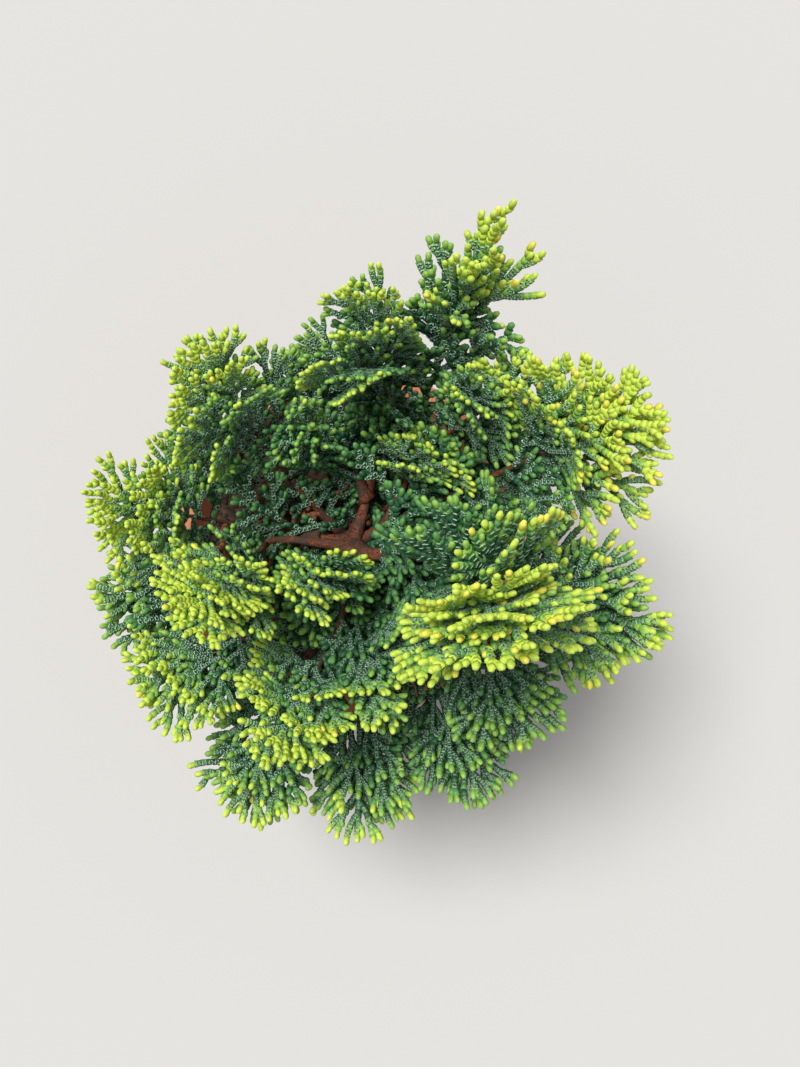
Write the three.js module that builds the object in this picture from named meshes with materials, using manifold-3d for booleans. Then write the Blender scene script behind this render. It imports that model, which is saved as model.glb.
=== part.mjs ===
// A young dwarf hinoki cypress in a plain clay pot. The short stem leans and forks into boughs, and each
// bough carries one mass of flat, shell-shaped fans of foliage. Millimetres and degrees, +Z up, and the
// origin is the middle of the pot's flat underside. Compass words are seen from above, with north along +Y.
import * as THREE from "three";
import { mergeVertices } from "three/addons/utils/BufferGeometryUtils.js";
import Module from "manifold-3d";

const wasm = await Module();
wasm.setup();

// Driving dimensions of the pot and its filling.
const pot = {
  height: 98,
  rimRadius: 58,
  rimHeight: 22,
  rimStep: 3,
  baseRadius: 39,
  wall: 5.5,
  baseThickness: 7,
  edge: 1.2,
  drainRadius: 4,
  drainRing: 17,
  drains: 3,
  sides: 40,
};
const soil = { level: 86, crown: 2.5, gap: 0.3 };

// The trunk stands on the soil, and its foot and fork are places above the pot's underside.
const trunk = {
  foot: new THREE.Vector3(-2, 3, soil.level + soil.crown + soil.gap),
  rise: 58,
  lean: new THREE.Vector2(9, -6),
  footRadius: 4.6,
  forkRadius: 2.3,
  flare: 2.6,
  flareHeight: 9,
  lobes: 5,
  lobeDepth: 0.12,
  sides: 10,
  steps: 9,
};
const bough = { baseRadius: 1.9, tipRadius: 0.9, sides: 5, steps: 5, rise: 30 };

// One row for each bough and its mass: toward and reach place the outermost tips round the pot's axis,
// and height is theirs above the soil. heading and lift are the way the mass grows, size is the length
// from its stem's foot to its tips, spread and open are the degrees that its fans stand apart sideways
// and face to face, and the bough springs from the trunk or another bough at a share of its length.
const masses = [
  { name: "leader", toward: -25, reach: 42, height: 128, heading: -80, lift: 78, size: 58, fans: 8,
    spread: 44, open: 34, from: "trunk", at: 0.97 },
  { name: "east_low", toward: -14, reach: 83, height: 80, heading: -12, lift: 26, size: 50, fans: 5,
    spread: 46, open: 22, from: "trunk", at: 0.62 },
  { name: "south_east", toward: -44, reach: 76, height: 66, heading: -54, lift: 20, size: 50, fans: 5,
    spread: 46, open: 22, from: "trunk", at: 0.45 },
  { name: "east", toward: 24, reach: 84, height: 100, heading: 24, lift: 40, size: 58, fans: 6,
    spread: 46, open: 20, from: "trunk", at: 0.72 },
  { name: "north_east", toward: 40, reach: 68, height: 88, heading: 30, lift: 46, size: 46, fans: 5,
    spread: 44, open: 22, from: "east", at: 0.3 },
  { name: "north_east_low", toward: 28, reach: 66, height: 58, heading: 32, lift: 24, size: 46, fans: 4,
    spread: 44, open: 20, from: "trunk", at: 0.32 },
  { name: "north_spire", toward: 63, reach: 89, height: 98, heading: 66, lift: 48, size: 66, fans: 6,
    spread: 24, open: 14, from: "trunk", at: 0.56 },
  { name: "north", toward: 80, reach: 63, height: 95, heading: 92, lift: 58, size: 54, fans: 6,
    spread: 50, open: 24, from: "trunk", at: 0.76 },
  { name: "north_low", toward: 100, reach: 56, height: 52, heading: 98, lift: 26, size: 40, fans: 4,
    spread: 46, open: 20, from: "trunk", at: 0.26 },
  { name: "north_inner", toward: 118, reach: 38, height: 74, heading: 150, lift: 46, size: 34, fans: 5,
    spread: 46, open: 20, from: "north", at: 0.4 },
  { name: "north_west", toward: 126, reach: 62, height: 85, heading: 124, lift: 46, size: 54, fans: 5,
    spread: 50, open: 22, from: "trunk", at: 0.52 },
  { name: "north_west_low", toward: 146, reach: 60, height: 50, heading: 146, lift: 20, size: 44, fans: 4,
    spread: 44, open: 20, from: "trunk", at: 0.3 },
  { name: "west", toward: 169, reach: 64, height: 78, heading: 168, lift: 46, size: 54, fans: 6,
    spread: 50, open: 22, from: "trunk", at: 0.66 },
  { name: "west_low", toward: 192, reach: 72, height: 45, heading: 186, lift: 14, size: 48, fans: 4,
    spread: 44, open: 18, from: "trunk", at: 0.28 },
  { name: "south_west_ridge", toward: 208, reach: 38, height: 95, heading: 236, lift: 62, size: 46, fans: 6,
    spread: 46, open: 20, from: "trunk", at: 0.8 },
  { name: "south_west", toward: 217, reach: 69, height: 56, heading: 214, lift: 26, size: 50, fans: 5,
    spread: 46, open: 20, from: "trunk", at: 0.4 },
  { name: "south_ridge", toward: 254, reach: 55, height: 82, heading: 244, lift: 48, size: 46, fans: 5,
    spread: 44, open: 18, from: "trunk", at: 0.7 },
  { name: "south_west_low", toward: 249, reach: 85, height: 44, heading: 247, lift: 16, size: 50, fans: 5,
    spread: 44, open: 16, from: "trunk", at: 0.24 },
  { name: "south", toward: 273, reach: 87, height: 40, heading: 270, lift: 10, size: 54, fans: 5,
    spread: 44, open: 16, from: "trunk", at: 0.34 },
  { name: "south_south_east", toward: 299, reach: 82, height: 50, heading: 292, lift: 16, size: 54, fans: 5,
    spread: 42, open: 16, from: "trunk", at: 0.18 },
  { name: "centre_east", toward: 40, reach: 47, height: 72, heading: 40, lift: 44, size: 46, fans: 5,
    spread: 48, open: 20, from: "trunk", at: 0.36 },
  { name: "centre_west", toward: 150, reach: 38, height: 66, heading: 140, lift: 46, size: 36, fans: 4,
    spread: 46, open: 20, from: "west", at: 0.34 },
  { name: "centre_south", toward: 238, reach: 16, height: 90, heading: 240, lift: 68, size: 36, fans: 4,
    spread: 46, open: 20, from: "trunk", at: 0.92 },
  { name: "south_inner", toward: 283, reach: 48, height: 76, heading: 285, lift: 42, size: 42, fans: 4,
    spread: 46, open: 20, from: "trunk", at: 0.5 },
];

// How every mass is built, as shares of its size unless a unit is named.
const fanRule = {
  middle: 0.46, // the middle of a mass lies this far behind its tips
  stem: 0.55, // length of the stem that its fans spring from
  length: 0.52, // of a fan from its foot on the stem
  shorter: [1, 0.75, 0.5], // lengths tried for a branchlet that has no room
  roll: 7, // degrees that a fan may turn about its own axis
  curl: 0.18, // of a fan's length that its far end rises off flat
  cup: 0.75, // how much more a fan curls sideways than along
  stations: 3, // steps between the pairs of branchlets on a fan
  firstStation: 0.22, // of the fan's length
  lastStation: 0.7,
  baseAngle: 66, // degrees between a branchlet and the axis, at the foot of a fan
  tipAngle: 26,
  branchlet: 0.44, // length of the longest, of the fan's length
  taper: 0.3, // width of a branchlet's blunt end, of its length
  ribWidth: 1.5, // millimetres
  thickness: 1.3, // millimetres
  margin: 0.45, // millimetres of clear space round a mass
  apart: 1.9, // millimetres between the branchlets of two fans
  lowest: 4, // millimetres that foliage stays above the pot
};

const radians = THREE.MathUtils.degToRad;
const up = new THREE.Vector3(0, 0, 1);

const colours = {
  clay: { color: 0xb86f4c, roughness: 0.86, metalness: 0 },
  soil: { color: 0x3a2c22, roughness: 0.97, metalness: 0 },
  bark: { color: 0x7c4a31, roughness: 0.92, metalness: 0 },
  foliage: { color: 0x4f8a35, roughness: 0.7, metalness: 0 },
};

const plant = new THREE.Group();
plant.name = "potted_dwarf_cypress";
const [container, framework, crown] = ["container", "framework", "crown"].map((name) => {
  const group = new THREE.Group();
  group.name = name;
  plant.add(group);
  return group;
});

function addPiece(group, name, geometry, colour) {
  const mesh = new THREE.Mesh(geometry, new THREE.MeshStandardMaterial(colour));
  mesh.name = name;
  group.add(mesh);
}

// A repeatable row of numbers from 0 to 1.
function numbersFrom(seed) {
  let state = (seed * 7919 + 12345) >>> 0;
  return () => {
    state = (Math.imul(state, 1664525) + 1013904223) >>> 0;
    return state / 4294967296;
  };
}

function toSolid(geometry) {
  const bare = geometry.index ? geometry.toNonIndexed() : geometry.clone();
  bare.deleteAttribute("normal");
  bare.deleteAttribute("uv");
  const merged = mergeVertices(bare, 1e-4);
  return new wasm.Manifold(new wasm.Mesh({
    numProp: 3,
    vertProperties: new Float32Array(merged.attributes.position.array),
    triVerts: new Uint32Array(merged.index.array),
  }));
}

function toGeometry(solid) {
  const mesh = solid.getMesh();
  const geometry = new THREE.BufferGeometry();
  geometry.setAttribute("position", new THREE.BufferAttribute(new Float32Array(mesh.vertProperties), 3));
  geometry.setIndex(new THREE.BufferAttribute(new Uint32Array(mesh.triVerts), 1));
  geometry.computeVertexNormals();
  return geometry;
}

// The largest body of a solid. A sealed hollow counts as negative, so leaving it out fills it.
function largestBody(solid) {
  const bodies = solid.decompose();
  return bodies.reduce((best, body) => (body.volume() > best.volume() ? body : best));
}

// A cylinder bent along a curve. radiusAt gives the radius at a share of the length and an angle.
function limbGeometry(curve, radiusAt, sides, steps) {
  const geometry = new THREE.CylinderGeometry(1, 1, 1, sides, steps);
  const frames = curve.computeFrenetFrames(steps, false);
  const position = geometry.attributes.position;
  for (let i = 0; i < position.count; i++) {
    const [x, y, z] = [position.getX(i), position.getY(i), position.getZ(i)];
    const step = Math.round((y + 0.5) * steps);
    const share = step / steps;
    const radius = radiusAt(share, Math.atan2(z, x));
    const place = curve.getPointAt(share)
      .addScaledVector(frames.normals[step], x * radius)
      .addScaledVector(frames.binormals[step], -z * radius);
    position.setXYZ(i, place.x, place.y, place.z);
  }
  return geometry;
}

// The pot: one turned profile, from the base's middle out, up the outside, over the rim and back inside.
function makePot() {
  const innerBase = pot.baseRadius - pot.wall + 1;
  const underRim = pot.rimRadius - pot.rimStep;
  const profile = [
    [0, 0],
    [pot.baseRadius - pot.edge, 0],
    [pot.baseRadius, pot.edge],
    [underRim - 1.5, pot.height - pot.rimHeight],
    [pot.rimRadius - 1, pot.height - pot.rimHeight],
    [pot.rimRadius, pot.height - pot.rimHeight + 1],
    [pot.rimRadius, pot.height - pot.edge],
    [pot.rimRadius - pot.edge, pot.height],
    [pot.rimRadius - pot.wall - 1, pot.height],
    [pot.rimRadius - pot.wall - 2, pot.height - pot.edge],
    [innerBase, pot.baseThickness],
    [0, pot.baseThickness],
  ].map(([r, z]) => new THREE.Vector2(r, z));
  const turned = new THREE.LatheGeometry(profile, pot.sides).rotateX(Math.PI / 2);
  let body = toSolid(turned);
  for (let i = 0; i < pot.drains; i++) {
    const angle = (i + 0.5) * (2 * Math.PI / pot.drains);
    const drain = new THREE.CylinderGeometry(pot.drainRadius, pot.drainRadius, 3 * pot.baseThickness, 16)
      .rotateX(Math.PI / 2)
      .translate(pot.drainRing * Math.cos(angle), pot.drainRing * Math.sin(angle), 0);
    body = body.subtract(toSolid(drain));
  }
  return body;
}

// The filling: a plug that follows the pot's inner wall 0.3 mm clear, slightly crowned at the stem.
function makeSoil() {
  const innerBase = pot.baseRadius - pot.wall + 1;
  const innerTop = pot.rimRadius - pot.wall - 2;
  const slope = (innerTop - innerBase) / (pot.height - pot.edge - pot.baseThickness);
  const wallAt = (z) => innerBase + slope * (z - pot.baseThickness) - soil.gap * 1.2;
  const bottom = pot.baseThickness + soil.gap;
  const profile = [
    [0, bottom],
    [wallAt(bottom), bottom],
    [wallAt(soil.level), soil.level],
    [wallAt(soil.level) * 0.72, soil.level + soil.crown * 0.5],
    [wallAt(soil.level) * 0.4, soil.level + soil.crown],
    [0, soil.level + soil.crown],
  ].map(([r, z]) => new THREE.Vector2(r, z));
  return toSolid(new THREE.LatheGeometry(profile, pot.sides).rotateX(Math.PI / 2));
}

function trunkCurve() {
  const { foot, rise, lean } = trunk;
  const fork = new THREE.Vector3(foot.x + lean.x, foot.y + lean.y, foot.z + rise);
  return new THREE.CubicBezierCurve3(
    foot,
    new THREE.Vector3(foot.x, foot.y, foot.z + rise * 0.34),
    new THREE.Vector3(foot.x + lean.x * 0.35, foot.y + lean.y * 0.35, foot.z + rise * 0.7),
    fork,
  );
}

function trunkRadius(share, angle) {
  const taper = THREE.MathUtils.lerp(trunk.footRadius, trunk.forkRadius, share);
  const near = Math.exp((-share * trunk.rise) / trunk.flareHeight * 2);
  return taper + trunk.flare * near * (1 + trunk.lobeDepth * 3 * Math.cos(trunk.lobes * angle));
}

const boughRadius = (share) => THREE.MathUtils.lerp(bough.baseRadius, bough.tipRadius, Math.sqrt(share));

// The unit vector of a compass heading and a lift above the horizon, both in degrees.
function heading(azimuth, lift) {
  const [a, e] = [radians(azimuth), radians(lift)];
  return new THREE.Vector3(Math.cos(a) * Math.cos(e), Math.sin(a) * Math.cos(e), Math.sin(e));
}

// Where each mass lies: its tips, middle, stem and bough, from its row.
function layOut(row) {
  const a = radians(row.toward);
  const tips = new THREE.Vector3(row.reach * Math.cos(a), row.reach * Math.sin(a), soil.level + row.height);
  const along = heading(row.heading, row.lift);
  const across = heading(row.heading + 90, 0);
  const middle = tips.clone().addScaledVector(along, -fanRule.middle * row.size);
  const stemStart = tips.clone().addScaledVector(along, -row.size);
  const stemEnd = stemStart.clone().addScaledVector(along, fanRule.stem * row.size);
  const boughTip = stemStart.clone().addScaledVector(along, -soil.gap);
  return { ...row, along, across, over: along.clone().cross(across), middle, stemStart, stemEnd, boughTip };
}

// A bough leaves its parent limb outwards and a little up, and comes in along its mass's stem.
function boughCurve(mass, parent) {
  const start = parent.getPointAt(mass.at);
  const reach = start.distanceTo(mass.boughTip);
  const out = mass.boughTip.clone().sub(start).setZ(0).normalize()
    .multiplyScalar(Math.cos(radians(bough.rise))).addScaledVector(up, Math.sin(radians(bough.rise)));
  return new THREE.CubicBezierCurve3(
    start,
    start.clone().addScaledVector(out, reach * 0.36),
    mass.boughTip.clone().addScaledVector(mass.along, -reach * 0.3),
    mass.boughTip,
  );
}

// Points with a radius along a limb, for keeping foliage clear of it.
function beads(owner, curve, radiusAt, count) {
  return Array.from({ length: count + 1 }, (_, i) => ({
    owner,
    place: curve.getPointAt(i / count),
    radius: radiusAt(i / count, 0),
  }));
}

// True if a point is nearer to its own mass's middle than to any other, with room to spare.
function inSpace(point, mass, all) {
  if (point.z < pot.height + fanRule.lowest) return false;
  const own = point.distanceToSquared(mass.middle);
  return all.every((other) => {
    const apart = mass.middle.distanceTo(other.middle);
    return other === mass || point.distanceToSquared(other.middle) - own > 2 * apart * fanRule.margin;
  });
}

// True if a straight piece of a given half width touches no limb and no other mass's stem.
function clearOfLimbs(start, end, halfWidth, mass, limbs) {
  const line = new THREE.Line3(start, end);
  const nearest = new THREE.Vector3();
  return limbs.every(({ owner, place, radius }) => {
    if (owner === mass.name) return true;
    line.closestPointToPoint(place, true, nearest);
    return nearest.distanceTo(place) > radius + halfWidth + fanRule.margin;
  });
}

// A three-sided stem between two points.
function twig(start, end, startRadius, endRadius) {
  const along = end.clone().sub(start);
  const geometry = new THREE.CylinderGeometry(endRadius, startRadius, along.length(), 3);
  const turn = new THREE.Quaternion().setFromUnitVectors(new THREE.Vector3(0, 1, 0), along.normalize());
  const middle = start.clone().add(end).multiplyScalar(0.5);
  return geometry.applyQuaternion(turn).translate(middle.x, middle.y, middle.z);
}

// The fans of one mass, from its tip back: each has its foot on the stem, an axis, a side and a face.
function fansOf(mass, seed) {
  const next = numbersFrom(seed);
  return Array.from({ length: mass.fans }, (_, i) => {
    const back = i / mass.fans;
    const side = i === 0 ? 0 : (i % 2 ? 1 : -1);
    const rise = i === 0 ? 0 : (i % 4 < 2 ? 1 : -1);
    const yaw = radians(side * mass.spread * (0.8 + 0.5 * back) + (next() - 0.5) * 8);
    const pitch = radians(rise * mass.open + (next() - 0.5) * 8);
    const roll = radians((next() - 0.5) * 2 * fanRule.roll);
    const axis = mass.along.clone().applyAxisAngle(mass.over, yaw);
    const across = mass.across.clone().applyAxisAngle(mass.over, yaw);
    axis.applyAxisAngle(across, -pitch);
    across.applyAxisAngle(axis, roll);
    const face = axis.clone().cross(across);
    const foot = mass.stemEnd.clone().lerp(mass.stemStart, 0.9 * back);
    const length = mass.size * fanRule.length * (0.92 + 0.16 * next());
    return { foot, axis, across, face, length };
  });
}

// A place on a fan: u along its axis, v to its side and w off its face, on the curled surface.
function onFan(fan, u, v, w = 0) {
  const curl = fanRule.curl * (u * u + fanRule.cup * v * v) / fan.length;
  return fan.foot.clone().addScaledVector(fan.axis, u).addScaledVector(fan.across, v)
    .addScaledVector(fan.face, curl + w);
}

// The branchlets of a fan, as places on its flat plan: two at each station, and three at the last.
function branchletsOf(fan) {
  const found = [];
  for (let k = 0; k <= fanRule.stations; k++) {
    const share = k / fanRule.stations;
    const u = fan.length * THREE.MathUtils.lerp(fanRule.firstStation, fanRule.lastStation, share);
    const angle = radians(THREE.MathUtils.lerp(fanRule.baseAngle, fanRule.tipAngle, share));
    const length = fan.length * fanRule.branchlet * Math.sin(Math.PI * (0.28 + 0.4 * share));
    for (const side of k === fanRule.stations ? [-1, 0, 1] : [-1, 1]) {
      found.push({ station: k, side, u, angle: side * angle, length });
    }
  }
  return found;
}

// The two corners of a branchlet's blunt end, on the fan's plan.
function bluntEnd({ u, angle, length }) {
  const [c, s] = [Math.cos(angle), Math.sin(angle)];
  const half = length * fanRule.taper / 2;
  const tip = new THREE.Vector2(u + length * c, length * s);
  return [-1, 1].map((w) => tip.clone().add(new THREE.Vector2(-w * half * s, w * half * c)));
}

// Places spread over a branchlet, for keeping it clear of the fans already placed.
function spotsOn(fan, branchlet) {
  const foot = new THREE.Vector2(branchlet.u, 0);
  return bluntEnd(branchlet).flatMap((end) => [0.35, 0.6, 0.8, 1].map((share) => {
    const spot = foot.clone().lerp(end, share);
    return onFan(fan, spot.x, spot.y);
  }));
}

// True if a branchlet stays in the mass's space, clear of limbs and of the fans already placed.
function fits(fan, branchlet, mass, all, limbs, spots) {
  const root = onFan(fan, branchlet.u, 0);
  const corners = bluntEnd(branchlet).map((p) => onFan(fan, p.x, p.y));
  const half = corners[0].distanceTo(corners[1]) / 2;
  const middle = corners[0].clone().lerp(corners[1], 0.5);
  if (![root, ...corners].every((p) => inSpace(p, mass, all))) return false;
  if (!clearOfLimbs(root, middle, half, mass, limbs)) return false;
  return spotsOn(fan, branchlet).every((p) => spots.every((q) => p.distanceTo(q) > fanRule.apart));
}

// The branchlets that a fan keeps, each at the longest of the lengths tried for which it has room.
function keptBranchlets(fan, mass, all, limbs, spots) {
  return branchletsOf(fan).flatMap((whole) => {
    const tried = fanRule.shorter.map((share) => ({ ...whole, length: whole.length * share }));
    return tried.filter((branchlet) => fits(fan, branchlet, mass, all, limbs, spots)).slice(0, 1);
  });
}

// The plan of a fan's blade: from its foot on the stem round the kept branchlets and back.
function bladeOutline(kept) {
  const { ribWidth } = fanRule;
  const rib = ribWidth / 2;
  const furthest = Math.max(...kept.map((b) => b.u));
  const outline = [new THREE.Vector2(0, rib)];
  for (const side of [1, 0, -1]) {
    const row = kept.filter((b) => b.side === side).sort((p, q) => side * (p.u - q.u));
    for (const b of row) {
      const [far, near] = bluntEnd(b);
      const foot = new THREE.Vector2(b.u, side * rib);
      if (side > 0) outline.push(foot);
      outline.push(near, far);
      if (side < 0) outline.push(foot);
    }
    if (side === 0 && !row.length) outline.push(new THREE.Vector2(furthest + ribWidth, 0));
  }
  outline.push(new THREE.Vector2(0, -rib));
  return new THREE.Shape(outline.reverse());
}

// One fan as a toothed blade. It is left out if its rib has no room or fewer than three branchlets are kept.
function fanPieces(fan, mass, all, limbs, spots) {
  const ribEnd = onFan(fan, fan.length * fanRule.firstStation, 0);
  if (!inSpace(ribEnd, mass, all)) return [];
  if (!clearOfLimbs(fan.foot, ribEnd, fanRule.ribWidth / 2, mass, limbs)) return [];
  const kept = keptBranchlets(fan, mass, all, limbs, spots);
  if (kept.length < 3) return [];
  for (const branchlet of kept) spots.push(...spotsOn(fan, branchlet));
  const depth = fanRule.thickness;
  const blade = new THREE.ExtrudeGeometry(bladeOutline(kept), { depth, bevelEnabled: false });
  const position = blade.attributes.position;
  for (let i = 0; i < position.count; i++) {
    const off = position.getZ(i) - depth / 2;
    const place = onFan(fan, position.getX(i), position.getY(i), off);
    position.setXYZ(i, place.x, place.y, place.z);
  }
  return [blade];
}

function makeMass(mass, all, limbs, taken, seed) {
  const spots = [];
  const pieces = [twig(mass.stemStart, mass.stemEnd, bough.tipRadius, fanRule.ribWidth / 2)];
  for (const fan of fansOf(mass, seed)) pieces.push(...fanPieces(fan, mass, all, limbs, spots));
  return largestBody(wasm.Manifold.union(pieces.map(toSolid)).subtract(taken));
}

addPiece(container, "pot", toGeometry(makePot()), colours.clay);
addPiece(container, "potting_soil", toGeometry(makeSoil()), colours.soil);

const stem = trunkCurve();
addPiece(framework, "trunk", limbGeometry(stem, trunkRadius, trunk.sides, trunk.steps), colours.bark);

const placed = masses.map(layOut);
const curves = new Map([["trunk", stem]]);
const limbs = beads("trunk", stem, trunkRadius, 30);
const grown = (radiusAt) => (share, angle) => radiusAt(share, angle) + soil.gap;
let taken = toSolid(limbGeometry(stem, grown(trunkRadius), trunk.sides, trunk.steps));
for (const mass of placed) {
  const curve = boughCurve(mass, curves.get(mass.from));
  curves.set(mass.name, curve);
  const whole = toSolid(limbGeometry(curve, boughRadius, bough.sides, bough.steps));
  const cleared = toSolid(limbGeometry(curve, grown(boughRadius), bough.sides, bough.steps));
  const limb = largestBody(whole.subtract(taken));
  addPiece(framework, "bough_" + mass.name, toGeometry(limb), colours.bark);
  taken = taken.add(cleared);
  limbs.push(...beads("bough", curve, boughRadius, 24));
  limbs.push(...beads(mass.name, new THREE.LineCurve3(mass.stemStart, mass.stemEnd), () => bough.tipRadius, 10));
}
placed.forEach((mass, i) => {
  const foliage = makeMass(mass, placed, limbs, taken, i + 1);
  addPiece(crown, "foliage_" + mass.name, toGeometry(foliage), colours.foliage);
});

export default plant;
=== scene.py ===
import random
from math import atan2, cos, degrees, exp, hypot, pi, radians, sin, sqrt, tau

import bmesh
import bpy
import numpy as np
from mathutils import Matrix, Quaternion, Vector, noise


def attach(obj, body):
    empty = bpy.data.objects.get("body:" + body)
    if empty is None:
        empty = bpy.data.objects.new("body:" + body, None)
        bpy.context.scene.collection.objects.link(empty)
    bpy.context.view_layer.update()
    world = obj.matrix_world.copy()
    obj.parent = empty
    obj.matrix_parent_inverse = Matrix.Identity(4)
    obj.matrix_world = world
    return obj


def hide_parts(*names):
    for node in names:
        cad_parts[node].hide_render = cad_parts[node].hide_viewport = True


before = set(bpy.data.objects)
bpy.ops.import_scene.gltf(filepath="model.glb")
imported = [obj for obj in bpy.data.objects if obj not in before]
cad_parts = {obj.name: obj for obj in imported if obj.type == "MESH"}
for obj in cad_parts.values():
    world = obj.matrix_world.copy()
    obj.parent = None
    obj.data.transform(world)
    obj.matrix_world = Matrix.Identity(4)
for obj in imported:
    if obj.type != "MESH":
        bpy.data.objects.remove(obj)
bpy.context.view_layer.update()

# Lengths in the looks are millimetres and angles are degrees. Meshes become metres at the end. A pair whose
# name ends in Vary is the least and the span of a seeded number.
toMetres = 0.001
nearly = 0.01  # corners closer than this are one


def paint(red, green, blue):
    # a colour picked on screen, as the shader wants it
    shares = [c / 255 for c in (red, green, blue)]
    return [((s + 0.055) / 1.055) ** 2.4 if s > 0.0404 else s / 12.92 for s in shares] + [1]


def grey(share):
    return [share, share, share, 1]


def lerp(a, b, share):
    return a + (b - a) * share


def clamp(value):
    return max(0.0, min(1.0, value))


def draw(dice, least, span):
    # a seeded number from least up
    return least + span * dice.random()


def sway(dice, width):
    # a seeded number on both sides of nought
    return (dice.random() - 0.5) * width


def setInputs(node, values):
    for name, value in values.items():
        node.inputs[name].default_value = value


def newMaterial(name, colour, roughness, specular):
    material = bpy.data.materials.new(name)
    material.use_nodes = True
    setInputs(material.node_tree.nodes["Principled BSDF"],
              {"Base Color": colour, "Roughness": roughness, "Specular IOR Level": specular})
    return material


def addNoise(material, scale, detail, stretch=(1, 1, 1)):
    # noise on the piece's own object coordinates; scale is per metre
    nodes, links = material.node_tree.nodes, material.node_tree.links
    where = nodes.new("ShaderNodeTexCoord")
    mapping = nodes.new("ShaderNodeMapping")
    setInputs(mapping, {"Scale": stretch})
    texture = nodes.new("ShaderNodeTexNoise")
    setInputs(texture, {"Scale": scale, "Detail": detail})
    links.new(where.outputs["Object"], mapping.inputs["Vector"])
    links.new(mapping.outputs["Vector"], texture.inputs["Vector"])
    return texture.outputs["Fac"]


def addRamp(material, source, stops):
    ramp = material.node_tree.nodes.new("ShaderNodeValToRGB")
    for element, (place, colour) in zip(ramp.color_ramp.elements, stops):
        element.position = place
        element.color = colour
    material.node_tree.links.new(source, ramp.inputs["Fac"])
    return ramp.outputs["Color"]


def mixColours(material, amount, first, second):
    # first is a node's output and second a plain colour
    nodes, links = material.node_tree.nodes, material.node_tree.links
    mix = nodes.new("ShaderNodeMix")
    mix.data_type = "RGBA"
    sockets = {s.name: s for s in mix.inputs if s.type == "RGBA"}
    links.new(amount, mix.inputs["Factor"])
    links.new(first, sockets["A"])
    sockets["B"].default_value = second
    return next(s for s in mix.outputs if s.type == "RGBA")


def setColour(material, source):
    shader = material.node_tree.nodes["Principled BSDF"]
    material.node_tree.links.new(source, shader.inputs["Base Color"])


def addBump(material, source, strength, distance):
    # distance is in metres
    nodes, links = material.node_tree.nodes, material.node_tree.links
    shader = nodes["Principled BSDF"]
    bump = nodes.new("ShaderNodeBump")
    setInputs(bump, {"Strength": strength, "Distance": distance})
    if shader.inputs["Normal"].links:
        links.new(shader.inputs["Normal"].links[0].from_socket, bump.inputs["Normal"])
    links.new(source, bump.inputs["Height"])
    links.new(bump.outputs["Normal"], shader.inputs["Normal"])


def meshOf(bm, name):
    mesh = bpy.data.meshes.new(name)
    bm.to_mesh(mesh)
    bm.free()
    return mesh


def placed(name, data):
    thing = bpy.data.objects.new(name, data)
    bpy.context.scene.collection.objects.link(thing)
    return thing


def addObject(name, mesh, material, smooth=True):
    mesh.materials.append(material)
    mesh.polygons.foreach_set("use_smooth", [smooth] * len(mesh.polygons))
    return placed(name, mesh)


def finishPiece(bm, name, material, nodes, smooth=True):
    # a bmesh in millimetres becomes a piece in metres, which rides with the plant and stands for CAD nodes
    bmesh.ops.recalc_face_normals(bm, faces=bm.faces)
    bmesh.ops.scale(bm, vec=(toMetres,) * 3, verts=bm.verts)
    piece = addObject(name, meshOf(bm, name), material, smooth)
    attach(piece, "root")
    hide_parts(*nodes)
    return piece


def turnProfile(profile, axis, steps, near=nearly):
    # a closed shape turned from its half profile
    bm = bmesh.new()
    corners = [bm.verts.new(place) for place in profile]
    edges = [bm.edges.new(pair) for pair in zip(corners, corners[1:])]
    bmesh.ops.spin(bm, geom=corners + edges, cent=(0, 0, 0), axis=axis, angle=tau,
                   steps=steps, use_merge=True)
    bmesh.ops.remove_doubles(bm, verts=bm.verts, dist=near)
    return bm


# Camera, floor and light: straight down on the crown, as the photograph looks.
viewing = {
    "place": (16.7, 3, 426),
    "lens": 33.74,
    "sensor": 36,
}
camera = placed("camera", bpy.data.cameras.new("camera"))
camera.data.lens = viewing["lens"]
camera.data.sensor_width = viewing["sensor"]
camera.data.clip_start = 10 * toMetres
camera.location = [v * toMetres for v in viewing["place"]]
bpy.context.scene.camera = camera

studio = {
    "floorColour": paint(178, 176, 172),
    "floorHalf": 30000,
    "skyColour": paint(240, 243, 247),
    "skyStrength": 0.6,
    "keyFrom": (-300, 360, 1050),
    "keySoftness": 24,
    "keyPower": 4.3,
}
bm = bmesh.new()
bmesh.ops.create_grid(bm, x_segments=1, y_segments=1, size=studio["floorHalf"] * toMetres)
floorPaint = newMaterial("floor paint", studio["floorColour"], roughness=0.9, specular=0.2)
floor = addObject("floor", meshOf(bm, "floor"), floorPaint)

world = bpy.data.worlds.new("sky")
bpy.context.scene.world = world
world.use_nodes = True
setInputs(world.node_tree.nodes["Background"],
          {"Color": studio["skyColour"], "Strength": studio["skyStrength"]})
lamp = bpy.data.lights.new("key", "SUN")
lamp.energy = studio["keyPower"]
lamp.angle = radians(studio["keySoftness"])
holder = placed("key", lamp)
holder.rotation_euler = (-Vector(studio["keyFrom"])).to_track_quat("-Z", "Y").to_euler()
bpy.context.scene.view_settings.view_transform = "Standard"
print("camera, floor and light are set")

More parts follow.
